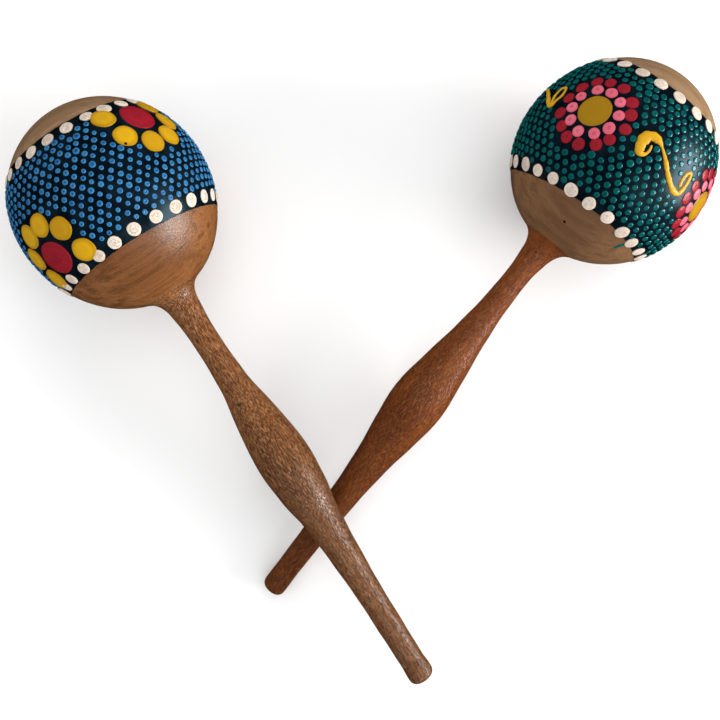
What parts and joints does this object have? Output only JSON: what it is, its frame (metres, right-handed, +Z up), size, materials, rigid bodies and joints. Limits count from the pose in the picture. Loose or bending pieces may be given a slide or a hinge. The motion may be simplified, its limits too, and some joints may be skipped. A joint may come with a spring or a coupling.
{
  "type": "pair of maracas",
  "caption": "Pair of hand-painted turned wooden maracas lying crossed: hollow ball heads with loose seeds inside, on swelling turned handles.",
  "frame": {"origin": "on the surface that the pair lies on, under the middle of the pair's bounding box", "axes": "+Z up from that surface; +X across the pair from the blue maraca's head to the green one's; +Y from the butts to the heads"},
  "size_m": [0.2629, 0.2404, 0.0759],
  "materials": {
    "blue_painted_head": "varnished wood with a black painted band, raised blue, cream, yellow and crimson paint dots",
    "green_painted_head": "varnished wood with a black painted band, raised green, cream, crimson, pink and mustard paint dots",
    "blue_handle_wood": "stained open-pored hardwood, satin",
    "green_handle_wood": "darker stained open-pored hardwood, satin",
    "seed": "dry hard seed"
  },
  "bodies": {
    "green_maraca": {"green_upper_shell": "green_painted_head", "green_lower_shell": "green_painted_head", "green_handle": "green_handle_wood"},
    "blue_maraca": {"blue_upper_shell": "blue_painted_head", "blue_lower_shell": "blue_painted_head", "blue_handle": "blue_handle_wood"},
    "blue_upper_seeds": {"blue_seed_01": "seed", "blue_seed_02": "seed", "blue_seed_03": "seed", "blue_seed_04": "seed", "blue_seed_05": "seed", "blue_seed_06": "seed"},
    "blue_middle_seeds": {"blue_seed_07": "seed", "blue_seed_08": "seed", "blue_seed_09": "seed", "blue_seed_10": "seed", "blue_seed_11": "seed", "blue_seed_12": "seed"},
    "blue_lower_seeds": {"blue_seed_13": "seed", "blue_seed_14": "seed", "blue_seed_15": "seed", "blue_seed_16": "seed", "blue_seed_17": "seed", "blue_seed_18": "seed"},
    "green_upper_seeds": {"green_seed_01": "seed", "green_seed_02": "seed", "green_seed_03": "seed", "green_seed_04": "seed", "green_seed_05": "seed", "green_seed_06": "seed"},
    "green_middle_seeds": {"green_seed_07": "seed", "green_seed_08": "seed", "green_seed_09": "seed", "green_seed_10": "seed", "green_seed_11": "seed", "green_seed_12": "seed"},
    "green_lower_seeds": {"green_seed_13": "seed", "green_seed_14": "seed", "green_seed_15": "seed", "green_seed_16": "seed", "green_seed_17": "seed", "green_seed_18": "seed"}
  },
  "joints": [
    {"name": "blue_maraca_lift", "type": "slide", "parent": "green_maraca", "child": "blue_maraca", "axis": [0, 0, 1], "range_m": [0, 0.1]},
    {"name": "blue_upper_seeds_roll", "type": "hinge", "parent": "blue_maraca", "child": "blue_upper_seeds", "pos_m": [-0.0933, 0.0674, 0.03803], "axis": [-0.5377, 0.8375, 0.0974], "continuous": true},
    {"name": "blue_middle_seeds_toss", "type": "slide", "parent": "blue_maraca", "child": "blue_middle_seeds", "axis": [0.0526, -0.0819, 0.9952], "range_m": [0, 0.042]},
    {"name": "blue_lower_seeds_roll", "type": "hinge", "parent": "blue_maraca", "child": "blue_lower_seeds", "pos_m": [-0.0933, 0.0674, 0.03803], "axis": [-0.5377, 0.8375, 0.0974], "continuous": true},
    {"name": "green_upper_seeds_roll", "type": "hinge", "parent": "green_maraca", "child": "green_upper_seeds", "pos_m": [0.0932, 0.0814, 0.03731], "axis": [0.6097, 0.7776, 0.1534], "continuous": true},
    {"name": "green_middle_seeds_toss", "type": "slide", "parent": "green_maraca", "child": "green_middle_seeds", "axis": [-0.0947, -0.1207, 0.9882], "range_m": [0, 0.042]},
    {"name": "green_lower_seeds_roll", "type": "hinge", "parent": "green_maraca", "child": "green_lower_seeds", "pos_m": [0.0932, 0.0814, 0.03731], "axis": [0.6097, 0.7776, 0.1534], "continuous": true}
  ]
}
